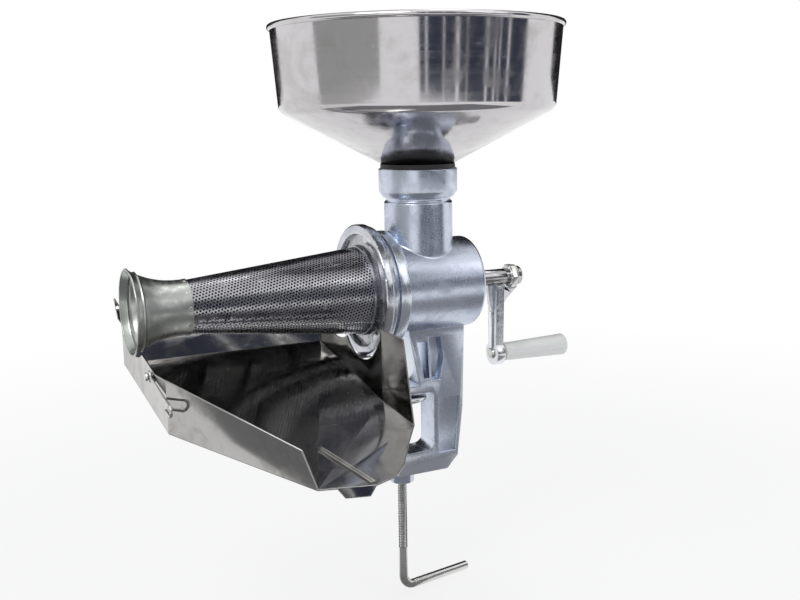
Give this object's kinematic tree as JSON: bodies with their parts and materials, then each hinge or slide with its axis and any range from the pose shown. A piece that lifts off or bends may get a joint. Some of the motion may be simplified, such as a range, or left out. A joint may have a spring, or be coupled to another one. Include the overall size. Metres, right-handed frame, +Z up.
{
  "type": "tomato strainer",
  "caption": "Hand-cranked tomato strainer: round steel hopper on a cast body with table clamp, perforated cone with flared outlet, crank and catch tray.",
  "frame": {"origin": "the table seat: underside of the clamp's fixed jaw, straight above the clamp screw", "axes": "+Z up along the neck and hopper, +X from the strainer's outlet towards the crank, +Y away from the tray's spout"},
  "size_m": [0.3926, 0.3083, 0.4852],
  "materials": {
    "hopper_steel": "polished stainless sheet",
    "tray_steel": "polished stainless sheet",
    "trumpet_steel": "satin spun stainless sheet",
    "screen_steel": "perforated stainless sheet",
    "casting_aluminium": "polished casting",
    "ring_aluminium": "polished casting",
    "crank_aluminium": "satin casting",
    "seal_rubber": "matte black",
    "food_rubber": "matte white",
    "grip_plastic": "white moulded",
    "auger_plastic": "natural nylon",
    "bush_bronze": "sintered bronze",
    "screw_steel": "bright zinc",
    "pad_steel": "bright zinc"
  },
  "bodies": {
    "body": {"body_casting": "casting_aluminium", "shaft_bushing": "bush_bronze", "shaft_seal": "seal_rubber", "bayonet_ring": "ring_aluminium", "strainer_gasket": "food_rubber"},
    "hopper_unit": {"hopper": "hopper_steel", "hopper_seal": "seal_rubber"},
    "crank": {"drive_shaft": "screw_steel", "auger": "auger_plastic", "crank_arm": "crank_aluminium", "grip_pin": "screw_steel", "crank_washer": "screw_steel", "crank_nut": "screw_steel"},
    "grip": {"crank_grip": "grip_plastic"},
    "strainer": {"strainer_cone": "screen_steel", "strainer_flange": "screen_steel", "outlet_trumpet": "trumpet_steel"},
    "tray": {"tray_pan": "tray_steel", "tray_hem": "tray_steel", "tray_latch_knob": "screw_steel"},
    "latch": {"tray_latch": "screw_steel"},
    "pad": {"clamp_pad": "pad_steel"},
    "screw": {"clamp_screw": "screw_steel"}
  },
  "joints": [
    {"name": "hopper_lift", "type": "slide", "parent": "body", "child": "hopper_unit", "axis": [0, 0, 1], "range_m": [0, 0.08]},
    {"name": "crank_turn", "type": "hinge", "parent": "body", "child": "crank", "pos_m": [0.019, 0, 0.0915], "axis": [1, 0, 0], "continuous": true},
    {"name": "grip_turn", "type": "hinge", "parent": "crank", "child": "grip", "pos_m": [0.129, 0, 0.0235], "axis": [1, 0, 0], "continuous": true},
    {"name": "strainer_pull", "type": "slide", "parent": "body", "child": "strainer", "axis": [-1, 0, 0], "range_m": [0, 0.17]},
    {"name": "tray_drop", "type": "slide", "parent": "strainer", "child": "tray", "axis": [0, 0, -1], "range_m": [0, 0.06]},
    {"name": "latch_turn", "type": "hinge", "parent": "tray", "child": "latch", "pos_m": [-0.22033, -0.04307, 0.052], "axis": [-0.9994, -0.0333, 0], "range_deg": [-15, 80]},
    {"name": "pad_travel", "type": "slide", "parent": "body", "child": "pad", "axis": [0, 0, -1], "range_m": [-0.00215, 0.0371]},
    {"name": "screw_turn", "type": "hinge", "parent": "pad", "child": "screw", "pos_m": [0, 0, -0.1085], "axis": [0, 0, 1], "range_deg": [-8900, 515]}
  ],
  "couplings": [
    {"joint": "pad_travel", "follows": "screw_turn", "m_per_rad": -0.00023873}
  ]
}
